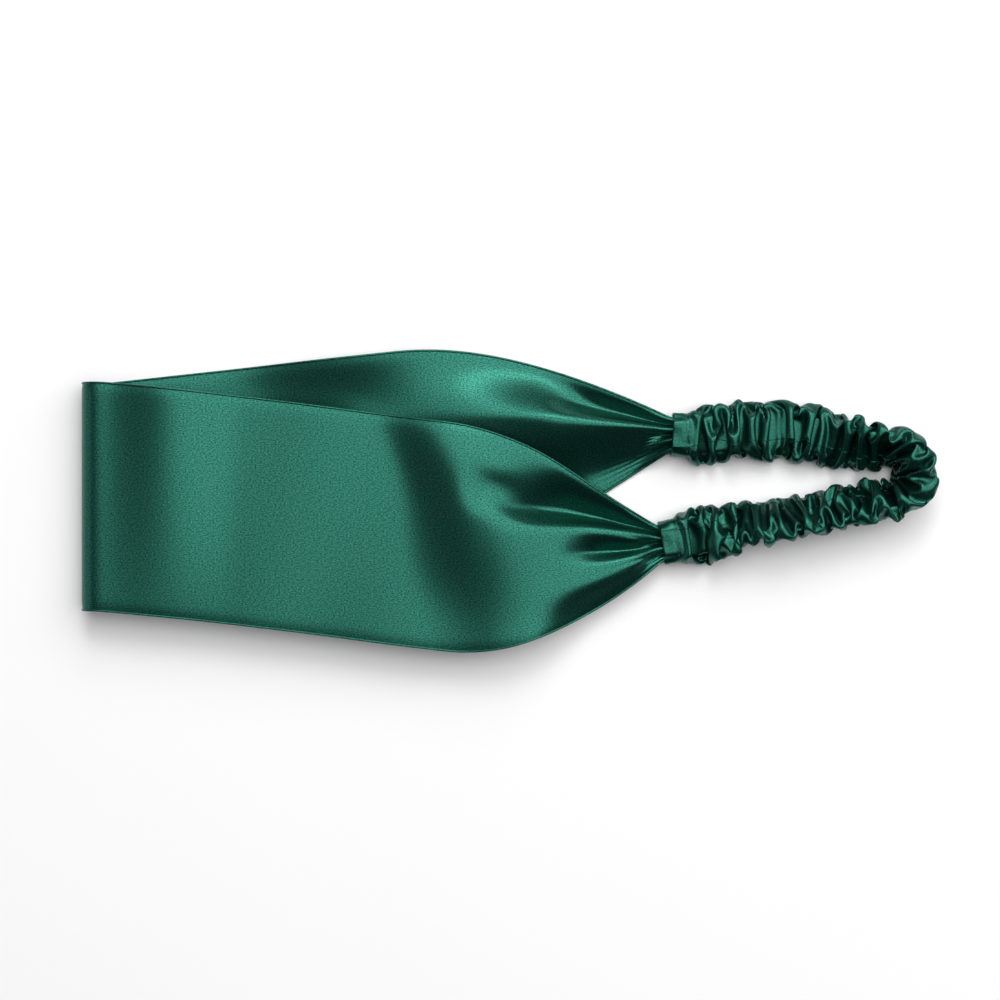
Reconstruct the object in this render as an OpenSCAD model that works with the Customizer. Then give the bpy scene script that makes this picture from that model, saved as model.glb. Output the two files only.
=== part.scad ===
// Satin headband with a ruched elastic back, laid flat and folded once.
// +X runs from the fold to the elastic, +Y across the band and +Z up from the table.
// The loop of cloth is followed from the back mouth of the casing, round the fold, to the front mouth.

/* [Band] */
// Width of the band across its flat part, in mm
band_width = 65; // [55:1:70]
// Distance from the fold to the back mouth of the casing
back_length = 164; // [160:1:170]
// Distance from the fold to the front mouth of the casing
front_length = 161; // [156:1:166]
// Sideways bow of the front half before its gathers
bow = 3.4; // [0:0.2:4]
// Radius of the soft fold, at the middle of the cloth
fold_radius = 5.5; // [5:0.25:7]
// Length over which the back half gathers to its mouth
back_gather = 80; // [70:1:90]
// Length over which the front half gathers to its mouth
front_gather = 62; // [55:1:75]
// Number of pleats across a gathered end
pleats = 4; // [3:1:5]
// Depth of the pleats at the mouth, each way from the middle
pleat_depth = 0.75; // [0.5:0.05:0.75]
// Height of the soft puff of the front half before its gathers
puff = 3; // [0:0.5:5]

/* [Cloth and thread] */
// Thickness of one satin panel
satin_thick = 0.4; // [0.3:0.05:0.4]
// Diameter of the sewing thread
thread = 0.4; // [0.3:0.05:0.5]
// Number of stitches in each row that joins the casing to the band
join_stitches = 6; // [4:1:7]

/* [Casing] */
// Width of the ruched casing, lying flat
casing_width = 14.5; // [14:0.25:15.5]
// Thickness of the ruched casing
casing_height = 8; // [7.6:0.2:8.6]
// Thickness of the casing's wall
casing_wall = 0.6; // [0.5:0.05:0.7]
// Depth of the ruffles
ruffle_depth = 0.9; // [0.4:0.1:1]
// Distance from one ruffle to the next
ruffle_pitch = 5.2; // [5:0.1:7]
// Length of the plain mouth that is sewn over each end of the band
mouth_length = 7; // [6:0.5:8]
// Width of the mouth
mouth_width = 12.6; // [12.4:0.1:13]
// Thickness of the mouth
mouth_height = 7; // [7:0.1:7.6]
// Radius of the turn of the casing, at its middle
turn_radius = 8; // [7.8:0.1:8.6]
// Twist of the elastic at the turn, which stands it on edge
turn_twist = 60; // [50:5:75]
// Sideways bow of the back arm of the casing
arm_bow = 2.6; // [0:0.2:3]

/* [Elastic] */
// Width of the elastic
elastic_width = 10; // [8:0.5:10]
// Thickness of the elastic
elastic_thick = 1.1; // [0.8:0.1:1.1]
// Length of elastic sewn to the gathered end of the band
elastic_overlap = 5; // [4:0.5:6]

/* [Hidden] */

satin = "seagreen";
lining = "mediumseagreen";
thread_green = "darkgreen";
rubber_white = "ivory";

layer_gap = 0.1;        // air between the two panels of the band
mouth_gap = 0.3;        // air between neighbouring pieces that only meet
tail_length = 5.5;      // gathered end inside the mouth
tail_width = 8.8;
tail_lift = 0.9;        // the tail lies above the elastic that it is sewn to
tail_step = 2;          // length over which the tail rises to it
elastic_drop = 1.45;    // the elastic lies below the middle of the mouth
mouth_square = 0.6;     // under 1, the mouth is squarer than an ellipse
mouth_lift = 0.6;       // the table clears the mouth by this much
fold_x = -116;          // where the two flat halves start
fold_y = 1;
back_mouth_y = 18.8;
front_mouth_y = -12.4;
back_heading = -3;      // direction of each arm of the casing as it leaves its mouth
front_heading = 10.5;
back_rise = 45;         // length over which each half comes to the height of its mouth
front_rise = 48;
heading_run = 40;       // length over which each half turns to the direction of its arm
puff_at = 38;           // middle of the puff, from the front mouth
puff_reach = 36;
twist_in = [36, 26];    // start and length of the twist, from the back mouth
twist_ease = [84, 20];  // start and length of its easing after the turn
twist_out = [36, 26];   // start and length of its end, back from the front mouth
front_twist = 0.65;     // share of the twist that the front arm keeps
bend_extra = 4;         // straight cloth that moves with the turn, at each side
seam_short = 2;         // the long seam stops this far from each mouth
thread_at = 3;          // the gathering thread, from the start of its mouth
stitch_rows = [2, 4.5]; // the rows of join stitches, from the start of their mouth
stitch_margin = 3.2;    // bare cloth at each end of a row
stitch_share = 0.6;     // length of a stitch as a share of its pitch
stitch_air = 0.05;      // air under a stitch
across = 20;            // strips across the band
half_steps = 19;        // stations along one half
crowding = 0.75;        // under 1, the stations crowd towards the mouth
fold_steps = 6;
tube_sides = 14;
ring_step = 1.3;        // largest distance between two rings of the casing
elastic_step = 2.2;     // the same for the elastic and the long seam
seam_step = 1.7;
round_sides = 24;       // sides of a round thread

stack = satin_thick + layer_gap / 2;
rest_z = stack;
mouth_z = mouth_height / 2 + mouth_lift;
top_z = rest_z + 2 * fold_radius;

function smooth(x) = let (c = max(0, min(1, x))) c * c * (3 - 2 * c);
function bump(x) = abs(x) < 1 ? pow(cos(90 * x), 2) : 0;
function mix(a, b, k) = a + (b - a) * k;
function turned(p, angle) = [p.x * cos(angle) - p.y * sin(angle), p.x * sin(angle) + p.y * cos(angle)];

// ---- The band: one station is [centre, half width, turn of the width, inward direction, pleat depth] ----

function gathered(from_mouth, length) = sin(90 * max(0, min(1, from_mouth / length)));
function half_width(from_mouth, length) = mix(tail_width, band_width, gathered(from_mouth, length)) / 2;
function pleat(from_mouth, length) = pleat_depth * pow(1 - max(0, min(1, from_mouth / length)), 2);

function back_station(u) =
    let (d = back_length - u, inside = max(0, -d), deep = pleat(d, back_gather))
    [[fold_x + u,
      mix(fold_y, back_mouth_y, u / back_length),
      mix(rest_z + deep, mouth_z, smooth(1 - d / back_rise)) + tail_lift * smooth(inside / tail_step)],
     half_width(d, back_gather), back_heading * smooth(1 - d / heading_run), [0, 0, 1], deep];

function front_station(u) =
    let (d = front_length - u, inside = max(0, -d), deep = pleat(d, front_gather))
    [[fold_x + u,
      mix(fold_y, front_mouth_y, u / front_length) - bow * sin(180 * pow(min(1, u / front_length), 2)),
      mix(top_z, mouth_z, smooth(1 - d / front_rise)) + puff * bump((d - puff_at) / puff_reach)
      + tail_lift * smooth(inside / tail_step)],
     half_width(d, front_gather), front_heading * smooth(1 - d / heading_run), [0, 0, -1], deep];

function fold_station(phi) =
    [[fold_x - fold_radius * sin(phi), fold_y, rest_z + fold_radius * (1 - cos(phi))],
     band_width / 2, 0, [sin(phi), 0, cos(phi)], 0];

// Stations crowd towards the mouth, where the cloth turns most.
function half_u(i, length) = (length + tail_length) * pow(i / half_steps, crowding);

stations = concat(
    [for (i = [half_steps:-1:1]) back_station(half_u(i, back_length))],
    [for (i = [0:fold_steps]) fold_station(180 * i / fold_steps)],
    [for (i = [1:half_steps]) front_station(half_u(i, front_length))]);

function wave(t) = cos(180 * pleats * (t + 1));
function on_band(st, t, lift, extra = 0) =
    let (w = turned([0, st[1] * t + extra], st[2]))
    st[0] + [w.x, w.y, 0] + st[3] * (lift + st[4] * wave(t));

// Two flat triangles for each four-sided face.
function halves(faces) = [for (f = faces) for (i = [1:len(f) - 2]) [f[0], f[i], f[i + 1]]];

// A closed sheet between two lifts above the middle of the cloth.
module sheet(low, high) {
    n = len(stations);
    m = across + 1;
    points = [for (lift = [low, high]) for (st = stations) for (j = [0:across])
              on_band(st, 2 * j / across - 1, lift)];
    top = n * m;
    polyhedron(points, halves(concat(
        [for (i = [0:n - 2]) for (j = [0:across - 1]) let (a = i * m + j) [a, a + 1, a + m + 1, a + m]],
        [for (i = [0:n - 2]) for (j = [0:across - 1]) let (a = top + i * m + j) [a, a + m, a + m + 1, a + 1]],
        [for (i = [0:n - 2]) for (e = [0, across]) let (a = i * m + e, b = a + m)
         e == 0 ? [a, b, b + top, a + top] : [b, a, a + top, b + top]],
        [for (j = [0:across - 1]) for (e = [0, n - 1]) let (a = e * m + j, b = a + 1)
         e == 0 ? [b, a, a + top, b + top] : [a, b, b + top, a + top]])));
}

// A closed tube through rings of points, with an optional bore through matching inner rings.
module tube(rings, bores = []) {
    k = len(rings[0]);
    n = len(rings);
    hollow = len(bores) > 0;
    inner = n * k;
    points = concat([for (r = rings) each r], [for (r = bores) each r]);
    outside = [for (i = [0:n - 2]) for (j = [0:k - 1]) let (a = i * k + j, b = i * k + (j + 1) % k)
               [a, a + k, b + k, b]];
    inside = !hollow ? [] : [for (f = outside) [f[3] + inner, f[2] + inner, f[1] + inner, f[0] + inner]];
    last = (n - 1) * k;
    ends = hollow
        ? [for (j = [0:k - 1]) for (e = [0, last]) let (a = e + j, b = e + (j + 1) % k)
           e == 0 ? [a, b, b + inner, a + inner] : [b, a, a + inner, b + inner]]
        : [[for (j = [0:k - 1]) j], [for (j = [k - 1:-1:0]) last + j]];
    polyhedron(points, halves(concat(outside, inside, ends)));
}

// A six-sided ring of thread, square to the unit direction that it runs along.
function thread_ring(centre, along, up) =
    let (side = cross(along, up) / norm(cross(along, up)), rise = cross(side, along))
    [for (j = [0:5]) centre + thread / 2 * (side * cos(60 * j) - rise * sin(60 * j))];

// Thread laid along one edge of the band, just outside both panels.
module edge_thread(side) {
    first = 1;
    last = len(stations) - 2;
    line = [for (i = [first:last]) on_band(stations[i], side, 0, side * (thread / 2 + layer_gap))];
    tube([for (i = [0:len(line) - 1])
          let (a = line[max(0, i - 1)], b = line[min(len(line) - 1, i + 1)], along = (b - a) / norm(b - a))
          thread_ring(line[i], along, stations[first + i][3])]);
}

// ---- The casing's route: straight from each mouth, with one round turn between ----

back_start = [fold_x + back_length, back_mouth_y];
front_start = [fold_x + front_length, front_mouth_y];
back_side = turned([0, 1], back_heading);
front_side = turned([0, 1], front_heading);
// The centre of the turn lies one radius inside both straight lines.
back_limit = back_start * back_side - turn_radius;
front_limit = front_start * front_side + turn_radius;
spread = back_side.x * front_side.y - back_side.y * front_side.x;
turn_centre = [(back_limit * front_side.y - front_limit * back_side.y) / spread,
               (front_limit * back_side.x - back_limit * front_side.x) / spread];
back_run = (turn_centre - back_start) * turned([1, 0], back_heading);
front_run = (turn_centre - front_start) * turned([1, 0], front_heading);
turn_angle = 180 - front_heading + back_heading;
turn_run = turn_radius * turn_angle * PI / 180;
route_length = back_run + turn_run + front_run;

function route_xy(s) =
    s <= back_run ? back_start + turned([s, arm_bow * pow(sin(180 * s / back_run), 2)], back_heading)
    : s < back_run + turn_run
        ? turn_centre + turn_radius * turned([0, 1], back_heading - turn_angle * (s - back_run) / turn_run)
        : front_start + (route_length - s) * turned([1, 0], front_heading);
function route_heading(s) =
    s <= back_run ? back_heading + atan(arm_bow * PI / back_run * sin(360 * s / back_run))
    : back_heading - turn_angle * min(1, (s - back_run) / turn_run);
function twist(s) = turn_twist
    * (smooth((s - twist_in[0]) / twist_in[1])
       - (1 - front_twist) * smooth((s - twist_ease[0]) / twist_ease[1])
       - front_twist * smooth((s - route_length + twist_out[0]) / twist_out[1]));
function swell(s) = smooth((min(s, route_length - s) - mouth_length + 1) / 4);
function tall(s) =
    let (a = mix(mouth_width, casing_width, swell(s)) / 2, b = mix(mouth_height, casing_height, swell(s)) / 2)
    sqrt(pow(a * sin(twist(s)), 2) + pow(b * cos(twist(s)), 2));
function route_z(s) = mix(mouth_z, tall(s), swell(s));

function squared(x, power) = sign(x) * pow(abs(x), power);

// A flattened ring square to the route; shrink takes its wall off for the bore.
function casing_ring(s, shrink) =
    let (grow = swell(s), xy = route_xy(s), h = route_heading(s), w = twist(s),
         ruffle = ruffle_depth * grow * (sin(360 * s / ruffle_pitch) - 1) / 2,
         a = mix(mouth_width, casing_width, grow) / 2 + ruffle - shrink,
         b = mix(mouth_height, casing_height, grow) / 2 + ruffle - shrink,
         power = mix(mouth_square, 1, grow))
    [for (j = [0:tube_sides - 1])
     let (q = 360 * j / tube_sides, p = turned([a * squared(cos(q), power), b * squared(sin(q), power)], w),
          side = turned([0, 1], h))
     [xy.x + side.x * p.x, xy.y + side.y * p.x, route_z(s) + p.y]];

function stops(from, to, step) = let (n = ceil((to - from) / step)) [for (i = [0:n]) mix(from, to, i / n)];

module casing(from, to) {
    at = stops(from, to, ring_step);
    tube([for (s = at) casing_ring(s, 0)], [for (s = at) casing_ring(s, casing_wall)]);
}

// Where the moving turn of the casing starts and ends along the route.
bend_from = back_run - bend_extra;
bend_to = back_run + turn_run + bend_extra;

module elastic() {
    from = mouth_length - elastic_overlap;
    at = stops(from, route_length - from, elastic_step);
    tube([for (s = at)
          let (xy = route_xy(s), w = twist(s), side = turned([0, 1], route_heading(s)),
               low = elastic_drop * (1 - swell(s)))
          [for (c = [[-1, -1], [1, -1], [1, 1], [-1, 1]])
           let (p = turned([c.x * elastic_width / 2, c.y * elastic_thick / 2], w))
           [xy.x + side.x * p.x, xy.y + side.y * p.x, route_z(s) - low + p.y]]]);
}

// Thread of the casing's long seam, lying in the trough along its flat side.
module long_seam() {
    from = mouth_length + seam_short;
    at = stops(from, route_length - from, seam_step);
    tube([for (s = at)
          let (xy = route_xy(s), w = twist(s), h = route_heading(s), side = turned([0, 1], h),
               p = turned([0, casing_height / 2 + thread], w))
          thread_ring([xy.x + side.x * p.x, xy.y + side.y * p.x, route_z(s) + p.y],
                      [cos(h), sin(h), 0], [0, 0, 1])]);
}

// Loop of thread drawn round the pleats, just inside the mouth.
module gathering_thread(start, heading) {
    wide = tail_width / 2 + thread + layer_gap;
    high = pleat_depth + stack + thread / 2 + 1.5 * layer_gap;
    rise = mouth_z + tail_lift;
    translate([start.x, start.y, rise]) rotate(heading) translate([thread_at, 0, 0]) rotate([90, 0, 90]) {
        for (side = [-1, 1]) translate([0, side * high, 0]) rotate([0, 90, 0])
            cylinder(d = thread, h = 2 * (wide - high), center = true, $fn = round_sides);
        for (side = [-1, 1]) translate([side * (wide - high), 0, 0]) rotate(side * 90 - 90)
            rotate_extrude(angle = 180, start = -90, $fn = 2 * round_sides)
                translate([high, 0]) circle(d = thread, $fn = round_sides);
    }
}

// Two rows of stitches on the upper face of a mouth, each a short bar of thread.
module join_stitching(start, heading) {
    reach = mouth_width / 2 - stitch_margin;
    bar = 2 * reach / join_stitches * stitch_share;
    for (row = stitch_rows) for (i = [0:join_stitches - 1])
        let (y = mix(-reach, reach, (i + 0.5) / join_stitches),
             aside = (abs(y) - bar / 2) / (mouth_width / 2),
             crown = mouth_height / 2 * pow(1 - pow(aside, 2 / mouth_square), mouth_square / 2))
        translate([start.x, start.y, mouth_z]) rotate(heading)
            translate([row, y, crown + thread / 2 + stitch_air])
                rotate([90, 0, 0]) cylinder(d = thread, h = bar, center = true, $fn = round_sides);
}

module outer_satin_panel() { color(satin) sheet(-stack, -layer_gap / 2); }
module inner_satin_panel() { color(lining) sheet(layer_gap / 2, stack); }
module top_edge_seam() { color(thread_green) edge_thread(1); }
module bottom_edge_seam() { color(thread_green) edge_thread(-1); }
module back_gathering_thread() { color(thread_green) gathering_thread(back_start, back_heading); }
module front_gathering_thread() { color(thread_green) gathering_thread(front_start, front_heading); }
module casing_back_mouth() { color(satin) casing(0, mouth_length); }
module casing_back_arm() { color(satin) casing(mouth_length + mouth_gap, bend_from - mouth_gap); }
module casing_bend() { color(satin) casing(bend_from, bend_to); }
module casing_front_arm() {
    color(satin) casing(bend_to + mouth_gap, route_length - mouth_length - mouth_gap);
}
module casing_front_mouth() { color(satin) casing(route_length - mouth_length, route_length); }
module casing_long_seam() { color(thread_green) long_seam(); }
module elastic_strip() { color(rubber_white) elastic(); }
module back_join_stitching() { color(thread_green) join_stitching(back_start, back_heading); }
module front_join_stitching() { color(thread_green) join_stitching(front_start, front_heading); }

outer_satin_panel();
inner_satin_panel();
top_edge_seam();
bottom_edge_seam();
back_gathering_thread();
front_gathering_thread();
casing_back_mouth();
casing_back_arm();
casing_bend();
casing_front_arm();
casing_front_mouth();
casing_long_seam();
elastic_strip();
back_join_stitching();
front_join_stitching();
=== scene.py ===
"""Satin headband with a ruched elastic back, lying flat and folded once.

The band is one strip of cloth, gathered at both ends by relaxing a net of threads, and then made into an outer and
an inner panel. The casing is a tube of cloth about twice as long as the elastic inside it, relaxed in the same way.
"""
from __future__ import annotations

import logging
import math
from dataclasses import dataclass
from enum import Enum
from typing import Callable, Iterable

import bpy
import mathutils
import numpy as np
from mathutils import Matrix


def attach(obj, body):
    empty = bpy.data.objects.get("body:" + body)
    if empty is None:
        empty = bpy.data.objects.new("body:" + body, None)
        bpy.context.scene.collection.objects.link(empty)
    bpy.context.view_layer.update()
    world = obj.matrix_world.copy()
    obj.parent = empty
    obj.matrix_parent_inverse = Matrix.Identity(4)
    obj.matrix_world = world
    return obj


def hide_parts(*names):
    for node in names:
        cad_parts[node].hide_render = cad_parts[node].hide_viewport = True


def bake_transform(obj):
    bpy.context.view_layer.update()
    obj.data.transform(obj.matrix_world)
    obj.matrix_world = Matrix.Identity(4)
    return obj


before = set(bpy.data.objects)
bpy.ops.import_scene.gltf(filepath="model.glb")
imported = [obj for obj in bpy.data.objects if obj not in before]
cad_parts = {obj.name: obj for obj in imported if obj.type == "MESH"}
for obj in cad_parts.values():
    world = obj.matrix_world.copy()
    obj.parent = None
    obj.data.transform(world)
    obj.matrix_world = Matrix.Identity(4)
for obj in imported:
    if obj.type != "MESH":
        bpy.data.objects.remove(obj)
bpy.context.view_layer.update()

LOG = logging.getLogger("headband")
MM = 0.001
SEED = 11
TINY = 1e-12
REST_Z = 0.45 * MM
FALL = 0.0004 * MM
Array = np.ndarray


# ---------------------------------------------------------------- small helpers


def smooth(x: Array | float) -> Array | float:
    """Ease from 0 to 1 with level ends."""
    c = np.clip(x, 0.0, 1.0)
    return c * c * (3.0 - 2.0 * c)


def bump(x: Array | float) -> Array | float:
    """A hill of height 1 at 0 that ends at -1 and 1."""
    return np.where(np.abs(x) < 1.0, np.cos(np.pi / 2 * np.clip(x, -1.0, 1.0)) ** 2, 0.0)


def mix(a: Array | float, b: Array | float, k: Array | float) -> Array | float:
    """Blend from a to b."""
    return a + (b - a) * k


def soft_floor(x: Array, ease: float) -> Array:
    """Keep values above zero, with a rounded foot of size ease."""
    return (x + np.sqrt(x * x + ease * ease)) / 2


def soft_noise(at: Array, length: float, rng: np.random.Generator) -> Array:
    """Smooth random values, about -1 to 1, along a line.

    Args:
        at: places along the line.
        length: distance over which the values change.
        rng: source of the random numbers.

    Returns:
        One value for each place.
    """
    knots = rng.uniform(-1.0, 1.0, int(np.ptp(at) / length) + 4)
    x = (at - at.min()) / length
    i = np.floor(x).astype(int)
    return mix(knots[i], knots[i + 1], smooth(x - i))


def add_mesh(name: str, points: Array, faces: Iterable[tuple[int, ...]],
             uv: Array | None = None) -> bpy.types.Object:
    """Make a mesh object at the origin.

    Args:
        name: name of the piece.
        points: N by 3, in metres.
        faces: corner indices of each face.
        uv: N by 2, one pair for each point, in metres of cloth.

    Returns:
        The new object, shaded smooth.
    """
    mesh = bpy.data.meshes.new(name)
    mesh.from_pydata([tuple(p) for p in points], [], [tuple(f) for f in faces])
    if uv is not None:
        layer = mesh.uv_layers.new(name="cloth")
        corners = np.empty(len(mesh.loops), dtype=np.int64)
        mesh.loops.foreach_get("vertex_index", corners)
        layer.data.foreach_set("uv", uv[corners].astype(np.float32).ravel())
    mesh.polygons.foreach_set("use_smooth", [True] * len(mesh.polygons))
    mesh.update()
    piece = bpy.data.objects.new(name, mesh)
    bpy.context.scene.collection.objects.link(piece)
    return piece


def bake(piece: bpy.types.Object) -> None:
    """Turn a piece's modifiers into its mesh.

    Args:
        piece: the piece, changed in place.
    """
    graph = bpy.context.evaluated_depsgraph_get()
    mesh = bpy.data.meshes.new_from_object(piece.evaluated_get(graph))
    piece.modifiers.clear()
    old, piece.data = piece.data, mesh
    bpy.data.meshes.remove(old)


def refine(path: Array, levels: int = 2) -> Array:
    """Round a line off in the way that a subdivided edge is rounded.

    Args:
        path: N by 3 points.
        levels: how many times to split it.

    Returns:
        The finer line.
    """
    for _ in range(levels):
        finer = np.empty((2 * len(path) - 1, path.shape[1]))
        finer[1::2] = (path[1:] + path[:-1]) / 2
        finer[0], finer[-1] = path[0], path[-1]
        finer[2:-1:2] = path[1:-1] * 0.75 + (path[2:] + path[:-2]) * 0.125
        path = finer
    return path


def thread_mesh(name: str, path: Array, radius: float, sides: int = 8) -> bpy.types.Object:
    """Make a round thread along a line.

    Args:
        name: name of the piece.
        path: N by 3 points.
        radius: radius of the thread.
        sides: faces round it.

    Returns:
        The thread, with its length and girth as cloth coordinates.
    """
    ring = np.concatenate([path[:1], path, path[-1:]])
    ahead = ring[2:] - ring[:-2]
    ahead /= np.linalg.norm(ahead, axis=1, keepdims=True) + TINY
    side = np.cross(ahead, (0.0, 0.0, 1.0))
    upright = np.linalg.norm(side, axis=1) < 0.05
    side[upright] = np.cross(ahead[upright], (1.0, 0.0, 0.0))
    side /= np.linalg.norm(side, axis=1, keepdims=True)
    up = np.cross(side, ahead)
    angle = np.arange(sides) * 2 * math.pi / sides
    points = (path[:, None] + radius * (side[:, None] * np.cos(angle)[None, :, None]
                                        + up[:, None] * np.sin(angle)[None, :, None])).reshape(-1, 3)
    n = len(path)
    grid = np.arange(n * sides).reshape(n, sides)
    first, last = grid[:-1], grid[1:]
    faces = np.stack([first, np.roll(first, -1, 1), np.roll(last, -1, 1), last], -1).reshape(-1, 4).tolist()
    faces += [tuple(grid[0][::-1]), tuple(grid[-1])]
    run = np.concatenate([[0.0], np.cumsum(np.linalg.norm(np.diff(path, axis=0), axis=1))])
    uv = np.stack([np.repeat(run, sides), np.tile(angle * radius, n)], -1)
    return add_mesh(name, points, faces, uv)


def subdivide(piece: bpy.types.Object, levels: int = 1) -> None:
    """Round a mesh off by subdivision.

    Args:
        piece: the piece, changed in place.
        levels: how many times each face is split.
    """
    mod = piece.modifiers.new("rounding", "SUBSURF")
    mod.levels = mod.render_levels = levels
    mod.boundary_smooth = "PRESERVE_CORNERS"
    bake(piece)


def set_inputs(tree: bpy.types.NodeTree, node: bpy.types.Node, inputs: dict[str | int, object]) -> None:
    """Give each input of a node its value, or link it to another node's output."""
    for name, value in inputs.items():
        if isinstance(value, bpy.types.NodeSocket):
            tree.links.new(value, node.inputs[name])
        else:
            node.inputs[name].default_value = value


def add_node(tree: bpy.types.NodeTree, kind: str, inputs: dict[str | int, object] | None = None,
             **settings: object) -> bpy.types.Node:
    """Add a node to a tree.

    Args:
        tree: the tree that it goes in.
        kind: type of the node.
        inputs: a value, or another node's output, for each input.
        settings: the node's own settings, which are set first.

    Returns:
        The new node.
    """
    made = tree.nodes.new(kind)
    for name, value in settings.items():
        setattr(made, name, value)
    set_inputs(tree, made, inputs or {})
    return made


def new_material(name: str) -> tuple[bpy.types.Material, bpy.types.NodeTree, bpy.types.Node]:
    """Make a material.

    Args:
        name: name of the material.

    Returns:
        The material, its node tree and its shader.
    """
    mat = bpy.data.materials.new(name)
    mat.use_nodes = True
    return mat, mat.node_tree, mat.node_tree.nodes["Principled BSDF"]


def tint(tree: bpy.types.NodeTree, mask: bpy.types.NodeSocket, dark: Iterable[float],
         light: Iterable[float]) -> bpy.types.NodeSocket:
    """Blend from one colour to another by a mask."""
    mixed = add_node(tree, "ShaderNodeMix", {"Factor": mask, "A": (*dark, 1.0), "B": (*light, 1.0)},
                     data_type="RGBA")
    return mixed.outputs["Result"]


# ---------------------------------------------------------------- cloth as a net of threads


@dataclass
class Links:
    """Pairs of points that share no point, and the distance that each pair keeps."""

    a: Array
    b: Array
    rest: Array
    pull: float


class Net:
    """A net of points that settles into the shape its threads want."""

    def __init__(self, points: Array, rows: int, cols: int, closed: bool) -> None:
        """Start a net.

        Args:
            points: rows times cols by 3, the shape to start from.
            rows: points along the cloth.
            cols: points across it, or round it.
            closed: whether the cloth is a tube.
        """
        self.points = points.copy()
        self.last = points.copy()
        self.weight = np.ones(len(points))
        self.index = np.arange(rows * cols).reshape(rows, cols)
        self.closed = closed
        self.links: list[Links] = []
        self.rules: list[Callable[[Array, int], None]] = []

    def _pairs(self, down: int, over: int) -> tuple[Array, Array]:
        """Pair each point with another.

        Args:
            down: rows to the other point.
            over: columns to it.

        Returns:
            Indices of the points, and of the other points.
        """
        rows, cols = self.index.shape
        if self.closed:
            first = self.index[: rows - down]
            return first, np.roll(self.index, -over, axis=1)[down:]
        left, right = max(0, -over), cols - max(0, over)
        return self.index[: rows - down, left:right], self.index[down:, left + over: right + over]

    def join(self, flat: Array, down: int, over: int, pull: float) -> None:
        """Join each point to another, at their distance in the flat cloth.

        Args:
            flat: N by 2, each point's place in the flat cloth.
            down: rows to the other point.
            over: columns to it.
            pull: share of a wrong distance that is put right at each step.
        """
        a, b = self._pairs(down, over)
        step, axis = (down, 0) if down else (over, 1)
        place = np.arange(a.shape[axis]) // step % 2
        span = np.linalg.norm(flat[a] - flat[b], axis=-1) if not self.closed else None
        for colour in (0, 1):
            take = np.nonzero(place == colour)[0]
            pa, pb = a.take(take, axis).ravel(), b.take(take, axis).ravel()
            rest = span.take(take, axis).ravel() if span is not None else self._tube_span(flat, pa, pb, over)
            self.links.append(Links(pa, pb, rest, pull))

    @staticmethod
    def _tube_span(flat: Array, a: Array, b: Array, over: int) -> Array:
        """Distances in the flat cloth, some of them across the tube's seam.

        Args:
            flat: N by 2, each point's place in the flat cloth.
            a: indices of the points measured from.
            b: indices of the points measured to.
            over: columns from one to the other.

        Returns:
            One distance for each pair.
        """
        step = flat[b] - flat[a]
        around = flat[:, 1].max() + flat[1, 1] - flat[0, 1]
        step[:, 1] = np.where(step[:, 1] * over < 0, step[:, 1] + math.copysign(around, over), step[:, 1])
        return np.linalg.norm(step, axis=-1)

    def settle(self, steps: int, keep: float, fall: float) -> None:
        """Let the net move towards rest.

        Args:
            steps: how many steps to take.
            keep: share of the speed kept at each step.
            fall: drop in each step, from gravity, in metres.
        """
        free = (self.weight > 0)[:, None]
        for step in range(steps):
            speed = (self.points - self.last) * keep
            self.last = self.points.copy()
            self.points += speed * free
            self.points[:, 2] -= fall * free[:, 0]
            for link in self.links:
                wa, wb = self.weight[link.a], self.weight[link.b]
                gap = self.points[link.b] - self.points[link.a]
                size = np.sqrt((gap * gap).sum(1)) + TINY
                share = link.pull * (size - link.rest) / (size * np.maximum(wa + wb, TINY))
                move = gap * share[:, None]
                self.points[link.a] += move * wa[:, None]
                self.points[link.b] -= move * wb[:, None]
            for rule in self.rules:
                rule(self.points, step)


def keep_apart(points: Array, gap: float, cols: int) -> None:
    """Push apart points of a tube of cloth that are nearer than the cloth is thick.

    Args:
        points: the net's points, changed in place.
        gap: smallest distance between two parts of the cloth that aren't neighbours.
        cols: points round the tube.
    """
    neighbours, ease = 2, 0.4
    cell = np.floor(points / gap).astype(np.int64)
    cell -= cell.min(0) - 1
    size = cell.max(0) + 2
    key = (cell[:, 0] * size[1] + cell[:, 1]) * size[2] + cell[:, 2]
    order = np.argsort(key, kind="stable")
    ordered = key[order]
    near_a, near_b = [], []
    for dx in (0, 1):
        for dy in (-1, 0, 1):
            for dz in (-1, 0, 1):
                if (dx, dy, dz) < (0, 0, 0):
                    continue
                shifted = ordered + (dx * size[1] + dy) * size[2] + dz
                low = np.searchsorted(ordered, shifted, "left")
                high = np.searchsorted(ordered, shifted, "right")
                count = high - low
                total = int(count.sum())
                if not total:
                    continue
                first = np.repeat(np.arange(len(order)), count)
                within = np.arange(total) - np.repeat(np.cumsum(count) - count, count)
                near_a.append(order[first])
                near_b.append(order[np.repeat(low, count) + within])
    a, b = np.concatenate(near_a), np.concatenate(near_b)
    row_a, col_a = np.divmod(a, cols)
    row_b, col_b = np.divmod(b, cols)
    across = np.abs(col_a - col_b)
    across = np.minimum(across, cols - across)
    apart = points[b] - points[a]
    span = np.sqrt((apart * apart).sum(1)) + TINY
    hit = (span < gap) & ((np.abs(row_a - row_b) > neighbours) | (across > neighbours)) & (a != b)
    a, b, apart, span = a[hit], b[hit], apart[hit], span[hit]
    push = apart * ((gap - span) / span * ease)[:, None]
    for axis in range(3):
        points[:, axis] += np.bincount(b, push[:, axis], len(points)) - np.bincount(a, push[:, axis], len(points))


# ---------------------------------------------------------------- where things lie


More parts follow.
